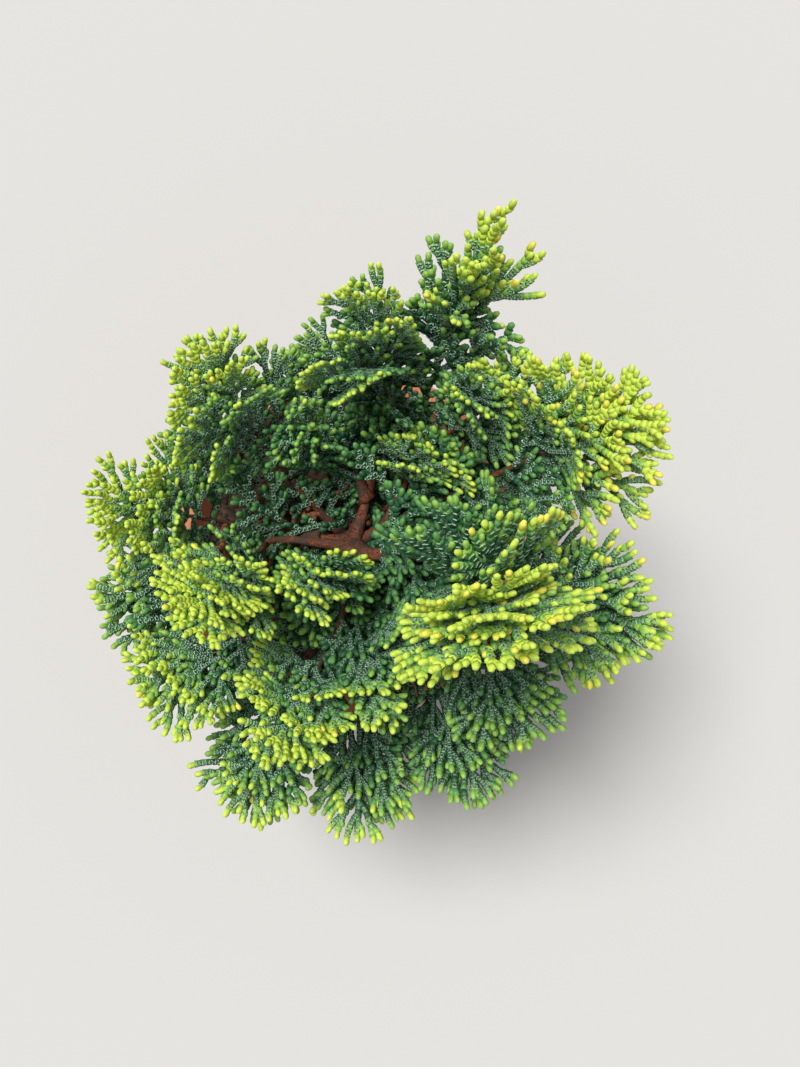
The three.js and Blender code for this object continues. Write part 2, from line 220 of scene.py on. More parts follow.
# The clay pot: one turned profile with softened edges and three drain holes.
potLook = {
    "height": 98,
    "rimRadius": 58,
    "rimHeight": 22,
    "underRimRadius": 53.5,
    "baseRadius": 39,
    "innerTopRadius": 50.9,
    "innerBaseRadius": 34.5,
    "baseThickness": 7,
    "edge": 1.2,
    "edgeCuts": 3,
    "edgesFrom": 30,  # rings inside this radius stay sharp
    "sharpFrom": 40,
    "drains": 3,
    "drainRadius": 4,
    "drainRing": 17,
    "drainHeight": 3,
    "drainDepth": 20,
    "drainSides": 24,
    "steps": 112,
    "light": paint(205, 134, 98),
    "dark": paint(166, 92, 62),
    "salt": paint(222, 196, 172),
}


def clayFinish():
    s = potLook
    material = newMaterial("fired clay", s["light"], roughness=0.88, specular=0.25)
    patches = addNoise(material, scale=26, detail=6)
    body = addRamp(material, patches, [(0.3, s["dark"]), (0.7, s["light"])])
    bloom = addRamp(material, addNoise(material, scale=60, detail=9), [(0.56, grey(0)), (0.78, grey(0.55))])
    setColour(material, mixColours(material, bloom, body, s["salt"]))
    addBump(material, addNoise(material, scale=1500, detail=6), strength=0.35, distance=0.0003)
    turning = addNoise(material, scale=240, detail=2, stretch=(0.05, 0.05, 1))
    addBump(material, turning, strength=0.25, distance=0.0005)
    return material


def makePot():
    s = potLook
    step = s["height"] - s["rimHeight"]
    profile = [
        (0, 0), (s["baseRadius"], 0), (s["underRimRadius"], step), (s["rimRadius"], step),
        (s["rimRadius"], s["height"]), (s["innerTopRadius"], s["height"]),
        (s["innerBaseRadius"], s["baseThickness"]), (0, s["baseThickness"]),
    ]
    bm = turnProfile([(r, 0, z) for r, z in profile], (0, 0, 1), s["steps"])
    bmesh.ops.recalc_face_normals(bm, faces=bm.faces)
    rings = []
    for edge in bm.edges:
        a, b = (v.co for v in edge.verts)
        isRing = abs(a.z - b.z) < nearly and abs(a.xy.length - b.xy.length) < nearly
        if isRing and a.xy.length > s["edgesFrom"]:
            rings.append(edge)
    bmesh.ops.bevel(bm, geom=rings, offset=s["edge"], affect="EDGES", segments=s["edgeCuts"],
                    profile=0.5, material=-1)
    pot = finishPiece(bm, "clay_pot", clayFinish(), ["pot"])

    cutters = bmesh.new()
    for i in range(s["drains"]):
        angle = (i + 0.5) * tau / s["drains"]
        place = (s["drainRing"] * cos(angle), s["drainRing"] * sin(angle), s["drainHeight"])
        bmesh.ops.create_cone(cutters, cap_ends=True, segments=s["drainSides"], radius1=s["drainRadius"],
                              radius2=s["drainRadius"], depth=s["drainDepth"],
                              matrix=Matrix.Translation(place))
    bmesh.ops.scale(cutters, vec=(toMetres,) * 3, verts=cutters.verts)
    cutter = placed("drain cutters", meshOf(cutters, "drain cutters"))
    boolean = pot.modifiers.new("drains", "BOOLEAN")
    boolean.operation = "DIFFERENCE"
    boolean.object = cutter
    bpy.context.view_layer.update()
    cut = bpy.data.meshes.new_from_object(pot.evaluated_get(bpy.context.evaluated_depsgraph_get()))
    pot.modifiers.clear()
    pot.data = cut
    bpy.data.objects.remove(cutter)
    pot.data.set_sharp_from_angle(angle=radians(s["sharpFrom"]))


makePot()
print("pot is turned")

# The filling: a crowned, crumbly surface down to a plain plug, with crumbs and bark chips lying on it.
soilLook = {
    "level": 86,
    "crown": 2.5,
    "radius": 50.6,
    "crownRadius": 50.5,
    "waist": (42.55, 48),
    "foot": (34.1, 7.3),
    "rings": 46,
    "steps": 150,
    "relief": 1.5,
    "reliefScale": 0.16,
    "reliefSeed": 3,
    "roughness": 0.6,
    "lacunarity": 2.1,
    "octaves": 5,
    "looseFrom": 2.5,  # loose bits keep this far from the wall
    "sunk": 0.35,
    "crumbs": 1500,
    "crumbSize": (0.5, 1.3),
    "crumbBias": 3,  # over 1, most crumbs are small
    "crumbWidth": (0.8, 0.3),
    "crumbHeight": 0.75,
    "chips": 120,
    "chipSize": (1.2, 1.8),
    "chipShape": (1, 0.42, 0.2),
    "chipTilt": 0.5,
    "chipSpin": 3,
    "seed": 5,
    "dark": paint(38, 30, 25),
    "light": paint(92, 74, 60),
    "chip": paint(112, 74, 52),
    "chipDark": paint(66, 44, 33),
}


def soilFinish():
    s = soilLook
    material = newMaterial("potting soil", s["dark"], roughness=0.95, specular=0.15)
    mottled = addNoise(material, scale=420, detail=8)
    colours = [(0.36, s["dark"]), (0.72, s["light"])]
    setColour(material, addRamp(material, mottled, colours))
    addBump(material, addNoise(material, scale=2200, detail=6), strength=0.6, distance=0.0006)
    return material


def chipFinish():
    s = soilLook
    material = newMaterial("bark chip", s["chip"], roughness=0.9, specular=0.2)
    grain = addNoise(material, scale=700, detail=5)
    colours = [(0.3, s["chipDark"]), (0.75, s["chip"])]
    setColour(material, addRamp(material, grain, colours))
    addBump(material, grain, strength=0.5, distance=0.0005)
    return material


def soilHeight(x, y):
    s = soilLook
    share = clamp(hypot(x, y) / s["crownRadius"])
    smooth = s["crown"] * (1 - share * share)
    place = Vector((x, y, s["reliefSeed"])) * s["reliefScale"]
    rough = noise.fractal(place, s["roughness"], s["lacunarity"], s["octaves"])
    return s["level"] + smooth + s["relief"] * rough


def looseBit(isChip, dice):
    # one lump on the soil, as the matrix that a ball of radius 1 gets
    s = soilLook
    reach = (s["radius"] - s["looseFrom"]) * sqrt(dice.random())
    angle = dice.random() * tau
    x, y = reach * cos(angle), reach * sin(angle)
    size = s["crumbSize"][0] + s["crumbSize"][1] * dice.random() ** s["crumbBias"]
    shape = (1, draw(dice, *s["crumbWidth"]), s["crumbHeight"])
    if isChip:
        size = draw(dice, *s["chipSize"])
        shape = s["chipShape"]
    tilt = Quaternion((sway(dice, 1), sway(dice, 1), sway(dice, 1), 1)).normalized()
    if isChip:
        spin = Quaternion((0, 0, 1), angle * s["chipSpin"])
        tilt = spin @ Quaternion((1, 0, 0), sway(dice, s["chipTilt"]))
    place = Matrix.Translation((x, y, soilHeight(x, y) + size * shape[2] * s["sunk"]))
    return place @ tilt.to_matrix().to_4x4() @ Matrix.Diagonal((*[size * f for f in shape], 1))


def makeSoil():
    s = soilLook
    profile = [(s["radius"] * i / s["rings"], s["level"]) for i in range(s["rings"] + 1)]
    profile += [s["waist"], s["foot"], (0, s["foot"][1])]
    bm = turnProfile([(r, 0, z) for r, z in profile], (0, 0, 1), s["steps"])
    for v in bm.verts:
        if v.co.z > s["waist"][1] + nearly:
            v.co.z = soilHeight(v.co.x, v.co.y)
    finishPiece(bm, "potting_soil_surface", soilFinish(), ["potting_soil"])

    dice = random.Random(s["seed"])
    for name, isChip, finish in (("soil_crumbs", False, soilFinish), ("bark_chips", True, chipFinish)):
        bm = bmesh.new()
        for _ in range(s["chips"] if isChip else s["crumbs"]):
            bmesh.ops.create_icosphere(bm, subdivisions=1, radius=1, matrix=looseBit(isChip, dice))
        finishPiece(bm, name, finish(), ["potting_soil"], smooth=False)


makeSoil()
print("pot is filled")

# The trunk and the boughs: the same curves and radii as the solids, with ridged, stringy bark.
curveSteps = 60
trunkLook = {
    "foot": Vector((-2, 3, 88.8)),
    "sunk": 2.2,
    "rise": 58,
    "lean": (9, -6),
    "lowPull": 0.34,
    "highPull": (0.35, 0.7),
    "footRadius": 4.6,
    "forkRadius": 2.3,
    "flare": 2.6,
    "flareHeight": 4.5,
    "lobes": 5,
    "lobeDepth": 0.36,
    "sides": 56,
    "ringGap": 0.7,
    "beads": 30,
}
boughLook = {
    "baseRadius": 1.9,
    "tipRadius": 0.9,
    "rise": 30,
    "basePull": 0.36,
    "tipPull": 0.3,
    "massGap": 0.3,
    "collar": 0.55,
    "collarLength": 3.5,
    "sides": 16,
    "ringGap": 1.1,
    "fewestRings": 8,
    "beads": 24,
    "stemBeads": 10,
}
barkLook = {
    "twist": 0.02,
    "ridge": 0.18,
    "ridgeGrain": (4.2, 0.09),
    "strip": 0.1,
    "stripGrain": (2.2, 0.22),
    "stripSeed": Vector((9, 3, 5)),
    "stripFrom": 0.12,
    "stripRise": 4,
    "light": paint(118, 66, 42),
    "dark": paint(44, 29, 23),
    "grey": paint(58, 49, 41),
}

# One row of massKeys for each bough and its mass. toward and reach place the outermost tips round the pot's
# axis, and height is theirs above the soil. heading and lift are the way the mass grows, and size its length.
# Its fans lie spread degrees apart sideways and open degrees up and down. The bough starts at a share of its
# limb's length, and sun is how yellow and bright the mass's foliage is: partly the plant's own gold tips, and
# partly painted light on the masses that the sun reaches and painted shade on the low ones. The looks that
# differ from massPlain come last.
massKeys = ["toward", "reach", "height", "heading", "lift", "size", "fans", "spread", "open", "at", "sun"]
massPlain = {
    "start": "trunk",  # the limb that the bough leaves
    "rake": 1,  # under 1, branchlets and fingers lie closer along
    "slim": 1,  # width of the front fans
    "taper": 0,  # how much these narrow towards the tip
    "fine": 1,  # thickness of the fingers
    "clothed": 0,  # share of the stem's length that carries sprigs
    "alone": False,  # has no smaller fans round its own
    "blush": 0.02,  # share of the lime tips that are gold
    # heart and away darken a fan's middle and the fans that lean inwards: painted shade over the plant's own
    # greener inner leaves
    "heart": 0.12,  # share of a fan's glow in its heart
    "away": 0.72,  # share of the glow on fans that lean inwards
    "frost": 1,  # how often the pale net shows
}  # and low, the spread of the fans at the back
massRows = {
    "leader": (-25, 42, 128, -80, 78, 58, 8, 44, 34, 0.97, 1.3,
               dict(slim=1.15, blush=0.2, heart=0.36, away=0.35)),
    "east_low": (-14, 83, 80, -12, 26, 50, 5, 46, 22, 0.62, 0.7, dict(rake=0.8, blush=0.04)),
    "south_east": (-44, 76, 66, -54, 20, 50, 5, 46, 22, 0.45, 0.36, dict(rake=0.75, frost=1.3)),
    "east": (24, 84, 100, 24, 40, 58, 6, 46, 20, 0.72, 1.25, dict(fine=0.92, blush=0.2, heart=0.4)),
    "north_east": (40, 68, 88, 30, 46, 46, 5, 44, 22, 0.3, 0.8, dict(start="east", fine=0.88, frost=1.5)),
    "north_east_low": (28, 66, 58, 32, 24, 46, 4, 44, 20, 0.32, 0.3, {}),
    "north_spire": (63, 89, 98, 66, 48, 66, 6, 13, 14, 0.56, 1.15,
                    dict(low=24, rake=0.7, slim=0.52, taper=0.4, clothed=0.9, blush=0.06, heart=0.5)),
    "north": (80, 63, 95, 92, 58, 54, 6, 50, 24, 0.76, 0.66, dict(fine=0.8, frost=1.3)),
    "north_low": (100, 56, 52, 98, 26, 40, 4, 46, 20, 0.26, 0.3, {}),
    "north_inner": (118, 38, 74, 150, 46, 34, 5, 46, 20, 0.4, 0.35, dict(start="north", fine=0.88)),
    "north_west": (126, 62, 85, 124, 46, 54, 5, 50, 22, 0.52, 0.9,
                   dict(fine=0.86, clothed=0.5, heart=0.25, frost=1.4)),
    "north_west_low": (146, 60, 50, 146, 20, 44, 4, 44, 20, 0.3, 0.3, {}),
    "west": (169, 64, 78, 168, 46, 54, 6, 50, 22, 0.66, 1.15, dict(fine=0.84, clothed=0.5, heart=0.3)),
    "west_low": (192, 72, 45, 186, 14, 48, 4, 44, 18, 0.28, 0.4, dict(frost=1.4)),
    "south_west_ridge": (208, 38, 95, 236, 62, 46, 6, 46, 20, 0.8, 1.2, dict(fine=0.87, heart=0.35)),
    "south_west": (217, 69, 56, 214, 26, 50, 5, 46, 20, 0.4, 0.7, dict(fine=0.92)),
    "south_ridge": (254, 55, 82, 244, 48, 46, 5, 44, 18, 0.7, 0.95, dict(fine=0.92)),
    "south_west_low": (249, 85, 44, 247, 16, 50, 5, 44, 16, 0.24, 0.6, dict(rake=0.88)),
    "south": (273, 87, 40, 270, 10, 54, 5, 44, 16, 0.34, 0.55, dict(rake=0.82)),
    "south_south_east": (299, 82, 50, 292, 16, 54, 5, 42, 16, 0.18, 0.42, dict(rake=0.78)),
    "centre_east": (40, 47, 72, 40, 44, 46, 5, 48, 20, 0.36, 0.6, dict(fine=0.9, heart=0.5, frost=1.6)),
    "centre_west": (150, 38, 66, 140, 46, 36, 4, 46, 20, 0.34, 0.5, dict(start="west", slim=0.6, alone=True)),
    "centre_south": (238, 16, 90, 240, 68, 36, 4, 46, 20, 0.92, 0.7, dict(fine=0.9)),
    "south_inner": (283, 48, 76, 285, 42, 42, 4, 46, 20, 0.5, 0.6, {}),
}
fanLook = {
    "middle": 0.46,
    "stem": 0.55,
    "length": 0.52,
    "lengthVary": (0.92, 0.16),
    "sidePush": (0.8, 0.5),
    "sway": 8,
    "roll": 7,
    "down": 0.9,
    "curl": 0.18,
    "cup": 0.75,
    "margin": 0.15,
    "lowest": 3,
    "limbGap": 0.8,
    "seeds": (7919, 12345),
    "rule": (1664525, 1013904223),
    "wrap": 2 ** 32,
}


def heading(azimuth, lift):
    a, e = radians(azimuth), radians(lift)
    return Vector((cos(a) * cos(e), sin(a) * cos(e), sin(e)))


def layOut(index, name, values, looks):
    mass = dict(massPlain, index=index, name=name, **dict(zip(massKeys, values)))
    mass.update(low=mass["spread"])
    mass.update(looks)
    flat = heading(mass["toward"], 0) * mass["reach"]
    tips = flat + Vector((0, 0, soilLook["level"] + mass["height"]))
    along = heading(mass["heading"], mass["lift"])
    across = heading(mass["heading"] + 90, 0)
    size = mass["size"]
    stemStart = tips - along * size
    mass.update(along=along, across=across, over=along.cross(across), stemStart=stemStart,
                middle=tips - along * fanLook["middle"] * size,
                stemEnd=stemStart + along * fanLook["stem"] * size,
                boughTip=stemStart - along * boughLook["massGap"])
    return mass


def bezier(a, b, c, d):
    # points at even steps of length along the curve, and its length
    coarseSteps = 200
    coarse = []
    for i in range(coarseSteps + 1):
        t = i / coarseSteps
        r = 1 - t
        coarse.append(a * r ** 3 + b * (3 * r * r * t) + c * (3 * r * t * t) + d * t ** 3)
    lengths = [0]
    for p, q in zip(coarse, coarse[1:]):
        lengths.append(lengths[-1] + (q - p).length)
    points = []
    k = 0
    for i in range(curveSteps + 1):
        goal = lengths[-1] * i / curveSteps
        while k < coarseSteps - 1 and lengths[k + 1] < goal:
            k += 1
        span = max(lengths[k + 1] - lengths[k], 1e-9)
        points.append(coarse[k].lerp(coarse[k + 1], clamp((goal - lengths[k]) / span)))
    return points, lengths[-1]


def pointAt(points, share):
    place = clamp(share) * (len(points) - 1)
    i = min(int(place), len(points) - 2)
    return points[i].lerp(points[i + 1], place - i)


def barkGrain(angle, along, grain, shift=0):
    # where a place on a limb lies in the noise that shapes its bark
    turns, run = grain
    return Vector((cos(angle) * turns, sin(angle) * turns, along * run + shift))


def limbInto(target, points, radiusAt, sides, rings, relief=True):
    # a capped cylinder, cut into rings, laid along the points and added to the target
    bm = bmesh.new()
    bmesh.ops.create_cone(bm, cap_ends=True, segments=sides, radius1=1, radius2=1, depth=1)
    upright = [e for e in bm.edges if abs(e.verts[0].co.z - e.verts[1].co.z) > 0.5]
    bmesh.ops.subdivide_edges(bm, edges=upright, cuts=rings - 1)
    places = [pointAt(points, i / rings) for i in range(rings + 1)]
    tangents = [(places[min(i + 1, rings)] - places[max(i - 1, 0)]).normalized() for i in range(rings + 1)]
    normal = tangents[0].orthogonal().normalized()
    normals = [normal]
    for before, after in zip(tangents, tangents[1:]):
        normal = before.rotation_difference(after) @ normal
        normals.append(normal)
    total = sum((q - p).length for p, q in zip(places, places[1:]))
    s = barkLook
    for v in bm.verts:
        i = round((v.co.z + 0.5) * rings)
        angle = atan2(v.co.y, v.co.x)
        radius = radiusAt(i / rings, angle)
        if relief:
            along = total * i / rings
            twisted = angle + along * s["twist"]
            ridged = noise.noise(barkGrain(twisted, along, s["ridgeGrain"], places[0].x))
            radius *= 1 + s["ridge"] * ridged
            torn = noise.noise(barkGrain(twisted, along, s["stripGrain"]) + s["stripSeed"])
            radius *= 1 + s["strip"] * clamp((torn - s["stripFrom"]) * s["stripRise"])
        side = normals[i].cross(tangents[i])
        v.co = places[i] + normals[i] * (cos(angle) * radius) - side * (sin(angle) * radius)
    laid = meshOf(bm, "limb")
    target.from_mesh(laid)
    bpy.data.meshes.remove(laid)


def trunkPoints():
    s = trunkLook
    foot, lean, rise = s["foot"], s["lean"], s["rise"]
    leanPull, risePull = s["highPull"]
    return bezier(
        foot,
        foot + Vector((0, 0, rise * s["lowPull"])),
        foot + Vector((lean[0] * leanPull, lean[1] * leanPull, rise * risePull)),
        foot + Vector((lean[0], lean[1], rise)),
    )


def trunkRadius(share, angle=0.0):
    s = trunkLook
    taper = lerp(s["footRadius"], s["forkRadius"], share)
    near = exp(-share * s["rise"] / s["flareHeight"])
    return taper + s["flare"] * near * (1 + s["lobeDepth"] * cos(s["lobes"] * angle))


def boughRadius(share):
    return lerp(boughLook["baseRadius"], boughLook["tipRadius"], sqrt(share))


def collaredRadius(share, length):
    # a bough swells where it leaves its parent
    swell = boughLook["collar"] * exp(-share * length / boughLook["collarLength"])
    return boughRadius(share) * (1 + swell)


def boughPoints(mass, parent):
    start = pointAt(parent, mass["at"])
    tip = mass["boughTip"]
    reach = (tip - start).length
    out = tip - start
    out.z = 0
    rise = radians(boughLook["rise"])
    out = out.normalized() * cos(rise) + Vector((0, 0, sin(rise)))
    basePull, tipPull = boughLook["basePull"], boughLook["tipPull"]
    return bezier(start, start + out * reach * basePull, tip - mass["along"] * reach * tipPull, tip)


def barkFinish():
    s = barkLook
    material = newMaterial("stringy bark", s["light"], roughness=0.92, specular=0.2)
    fibres = addNoise(material, scale=1700, detail=6, stretch=(1, 1, 0.3))
    patches = addNoise(material, scale=210, detail=5)
    body = addRamp(material, fibres, [(0.3, s["dark"]), (0.66, s["light"])])
    weathered = addRamp(material, patches, [(0.44, grey(0)), (0.56, grey(0.8))])
    setColour(material, mixColours(material, weathered, body, s["grey"]))
    addBump(material, fibres, strength=0.7, distance=0.0005)
    return material


masses = [layOut(i, name, values, looks) for i, (name, (*values, looks)) in enumerate(massRows.items())]
bark = barkFinish()
trunkLine, trunkLength = trunkPoints()
curves = {"trunk": trunkLine}

# beads along the limbs, each a place, a radius and its mass, keep the leaves out of the wood
beads = []


def makeTrunk():
    s = trunkLook
    for i in range(s["beads"] + 1):
        beads.append((trunkLine[i * curveSteps // s["beads"]], trunkRadius(i / s["beads"]), -1))
    bm = bmesh.new()
    limbInto(bm, [trunkLine[0] - Vector((0, 0, s["sunk"]))] + trunkLine, trunkRadius, s["sides"],
             round(trunkLength / s["ringGap"]))
    finishPiece(bm, "bark_trunk", bark, ["trunk"])


def makeBough(mass):
    s = boughLook
    index = mass["index"]
    line, length = boughPoints(mass, curves[mass["start"]])
    curves[mass["name"]] = line
    for i in range(s["beads"] + 1):
        beads.append((line[i * curveSteps // s["beads"]], boughRadius(i / s["beads"]), index))
    for i in range(s["stemBeads"] + 1):
        beads.append((mass["stemStart"].lerp(mass["stemEnd"], i / s["stemBeads"]), s["tipRadius"], index))
    bm = bmesh.new()
    limbInto(bm, line, lambda share, angle: collaredRadius(share, length), s["sides"],
             max(s["fewestRings"], round(length / s["ringGap"])))
    finishPiece(bm, "bark_bough_" + mass["name"], bark, ["bough_" + mass["name"]])


makeTrunk()
for mass in masses:
    makeBough(mass)
print("trunk and", len(masses), "boughs have bark")

# The foliage: the solids' seeded rule, carried on to branchlets, fingers and scale leaves.
sprayLook = {
    "footRoom": 0.22,
    "ribShare": 0.96,
    "firstStation": 0.16,
    "firstOnSprig": 0.1,
    "lastStation": 0.97,
    "stationGap": 3.0,
    "stationVary": (0.85, 0.3),
    "baseAngle": 62,
    "tipAngle": 26,
    "angleSway": 9,
    "wide": 0.5,
    "shell": (0.2, 0.62),
    "branchletVary": (0.72, 0.42),
    "branchletBend": 34,
    "branchletTilt": 0.2,
    "branchletFoot": (0.5, 0.7),
    "rimLean": 0.8,
    "rimLeast": 0.2,
    "pitch": 1.75,
    "clear": 2.12,
    "freeSteps": 2,  # that a finger may lie on its parent
    "fingerAngle": 36,
    "fingerSway": 12,
    "fingerLongest": 11,
    "fingerShare": 0.95,
    "fingerBend": 26,
    "fingerTilt": 0.3,
    "shortest": 2,
    "shortestRaked": 3,
    "wave": 0.5,
    "waveAlong": 0.31,
    "waveAcross": 0.37,
    "unitVary": (0.92, 0.16),
    "twigRadius": 0.45,
    "twigTaper": (1.25, 0.7),
    "twigSteps": 8,
    "rimMiddle": 0.35,
    "rimInner": 0.27,
    "rimOuter": 0.66,
    "glowSway": 0.2,
    "glowFade": 1.3,
    "outwardFrom": 0.45,
    "outwardSpan": 0.6,
    "twigSides": 6,
    "seed": 100,
    "mostUnits": 5400,  # in one piece, to keep it under 200,000 triangles
    "speckle": (0.72, 1.18),
}

# how far from the tip a finger's glow reaches, and what it adds up to on a unit
tipLook = {
    "reach": 3,
    "reachOfGlow": 3.4,
    "body": 0.12,
    "tip": 0.78,
    "tipPlain": 0.1,
    "end": 0.05,
    "endOfGlow": 0.12,
    "sway": 0.12,
}
leafColours = {
    # deep is the plant's own dark inner green, made darker still as painted shade for the gaps between the
    # fans
    "deep": dict(colour=paint(42, 84, 52), roughness=0.5, net=0.8, template="plain"),
    "mid": dict(colour=paint(82, 130, 68), roughness=0.5, net=0.8, template="plain"),
    "fresh": dict(colour=paint(128, 168, 72), roughness=0.48, net=0.6, template="scaled"),
    "lime": dict(colour=paint(180, 201, 74), roughness=0.46, net=0, template="scaled"),
    "gold": dict(colour=paint(206, 200, 74), roughness=0.46, net=0, template="scaled"),
    "dry": dict(colour=paint(120, 72, 46), roughness=0.85, net=0, template="plain"),
    "bloom": dict(colour=paint(162, 193, 165), roughness=0.75, net=0, template="bloom"),
}
glowSteps = {"mid": 0.18, "fresh": 0.34, "lime": 0.56}  # the least glow of each colour over deep

# what has grown: units by colour, inside and at the ends of the fingers, and the paths of the twigs
innerUnits, endUnits = ({name: [] for name in leafColours} for _ in range(2))
twigs = []


def numbersFrom(seed):
    # the seeded numbers that shape the solids too
    s = fanLook
    state = (seed * s["seeds"][0] + s["seeds"][1]) % s["wrap"]
    while True:
        state = (state * s["rule"][0] + s["rule"][1]) % s["wrap"]
        yield state / s["wrap"]


def turned(vector, axis, angle):
    return Quaternion(axis, angle) @ vector


def fansOf(mass):
    s = fanLook
    numbers = numbersFrom(mass["index"] + 1)
    fans = []
    for i in range(mass["fans"]):
        back = i / mass["fans"]
        # the first fan is in the middle, and the others lie by turns on its two sides, above and below
        side = 0 if i == 0 else (1 if i % 2 else -1)
        rise = 0 if i == 0 else (1 if i % 4 < 2 else -1)
        spread = lerp(mass["spread"], mass["low"], back)
        push = s["sidePush"][0] + s["sidePush"][1] * back
        yaw = radians(side * spread * push + (next(numbers) - 0.5) * s["sway"])
        pitch = radians(rise * mass["open"] + (next(numbers) - 0.5) * s["sway"])
        roll = radians((next(numbers) - 0.5) * 2 * s["roll"])
        axis = turned(mass["along"], mass["over"], yaw)
        across = turned(mass["across"], mass["over"], yaw)
        axis = turned(axis, across, -pitch)
        across = turned(across, axis, roll)
        foot = mass["stemEnd"].lerp(mass["stemStart"], s["down"] * back)
        length = mass["size"] * s["length"] * (s["lengthVary"][0] + s["lengthVary"][1] * next(numbers))
        fans.append(dict(foot=foot, axis=axis, across=across, face=axis.cross(across), length=length,
                         back=back))
    return fans


middles = np.array([m["middle"] for m in masses])
apart = np.linalg.norm(middles[:, None] - middles[None], axis=2)
beadPlaces = np.array([b[0] for b in beads])
beadRadii = np.array([b[1] for b in beads])
beadOwners = np.array([b[2] for b in beads])

# The open, shaded well west of the fork. Fans stop under its floor and thin sprigs under sprigFloor, and one
# mass lies across it.
hollow = {
    "middle": (-11, 10),
    "halves": (25, 11),
    "floor": 112,
    "sprigFloor": 134,
    "fringe": 1.3,
    "across": "centre_west",
    "dryShare": 0.25,
    "slim": 0.5,
    "frost": 1.2,
    "gap": 0.55,
}


def hollowShare(point):
    # under 1 in the well, seen from above
    x = (point.x - hollow["middle"][0]) / hollow["halves"][0]
    y = (point.y - hollow["middle"][1]) / hollow["halves"][1]
    return x * x + y * y


def hasRoom(point, index, ownSpace):
    # above the pot, clear of limbs and, for a mass's own fans, inside the mass's own space
    if point.z < potLook["height"] + fanLook["lowest"]:
        return False
    if point.z > hollow["floor" if ownSpace else "sprigFloor"] and hollowShare(point) < 1:
        if not ownSpace or masses[index]["name"] != hollow["across"]:
            return False
    p = np.array(point)
    if ownSpace:
        squares = ((middles - p) ** 2).sum(1)
        clear = squares - squares[index] > 2 * apart[index] * fanLook["margin"]
        clear[index] = True
        if not clear.all():
            return False
    near = ((beadPlaces - p) ** 2).sum(1) < (beadRadii + fanLook["limbGap"]) ** 2
    return not (near & (beadOwners != index)).any()


def onFan(fan, u, v, w=0.0):
    s = sprayLook
    curl = fanLook["curl"] * (u * u + fanLook["cup"] * v * v) / fan["length"]
    along = sin(u * s["waveAlong"] + fan["foot"].x)
    wave = s["wave"] * along * cos(v * s["waveAcross"] + fan["foot"].y)
    return fan["foot"] + fan["axis"] * u + fan["across"] * v + fan["face"] * (curl + wave + w)


def rimShare(fan, u, v):
    # 0 in the heart of a fan, 1 along its outer edge
    s = sprayLook
    far = hypot(u - s["rimMiddle"] * fan["length"], v) / fan["length"]
    return clamp((far - s["rimInner"]) / (s["rimOuter"] - s["rimInner"]))


def isClear(fan, u, v, mine, parent):
    # whether a place on the fan is clear of the fingers that already lie there
    reach = (sprayLook["clear"] * fan["fine"]) ** 2
    return all(owner == mine or owner == parent or (u - a) ** 2 + (v - b) ** 2 >= reach
               for a, b, owner in fan["taken"])


def colourOf(fan, glow, left, far, dice):
    # the colour of a unit with so many left before its finger's tip, which is so far off
    s = tipLook
    nearTip = exp(-far / (s["reach"] + s["reachOfGlow"] * glow))
    shine = glow * (s["body"] + s["tip"] * nearTip) + s["tipPlain"] * nearTip
    shine += 0 if left else s["end"] + s["endOfGlow"] * glow
    shine += sway(dice, s["sway"])
    kind = "deep"
    for name, least in glowSteps.items():
        if shine > least:
            kind = name
    if kind == "lime" and left == 0 and dice.random() < fan["blush"]:
        kind = "gold"
    return "dry" if fan["dry"] else kind


def growFinger(fan, start, angle, steps, tilt, bend, parent, dice):
    # one blunt finger: units one after the other, until one has no room; gives back the places it passed
    s = sprayLook
    u, v, w = start
    passed, units = [], []
    stride = s["pitch"] * fan["fine"]
    mine = fan["fingers"]
    for i in range(steps):
        way = angle + radians(bend) * i / steps * (-1 if angle > 0 else 1)
        here = onFan(fan, u, v, w)
        u2, v2, w2 = u + stride * cos(way), v + stride * sin(way), w + stride * sin(tilt)
        ahead = onFan(fan, u2, v2, w2)
        if not isClear(fan, u2, v2, mine, parent if i < s["freeSteps"] else mine):
            break
        if not hasRoom(ahead, fan["index"], fan["own"]):
            break
        forward = (ahead - here).normalized()
        sideways = fan["face"].cross(forward).normalized()
        size = fan["fine"] * draw(dice, *s["unitVary"])
        units.append((here, forward, sideways, forward.cross(sideways), size))
        passed.append((u2, v2, w2, way))
        u, v, w = u2, v2, w2
    fan["fingers"] += 1
    fan["taken"] += [(place[0], place[1], mine) for place in passed]
    glow = fan["glow"] * lerp(fan["heart"], 1, rimShare(fan, u, v))
    for i, unit in enumerate(units):
        left = len(units) - 1 - i
        kind = colourOf(fan, glow, left, left * stride, dice)
        (innerUnits if left else endUnits)[kind].append(unit)
        if left and dice.random() < fan["frost"] * leafColours[kind]["net"]:
            innerUnits["bloom"].append(unit)
    return passed, mine


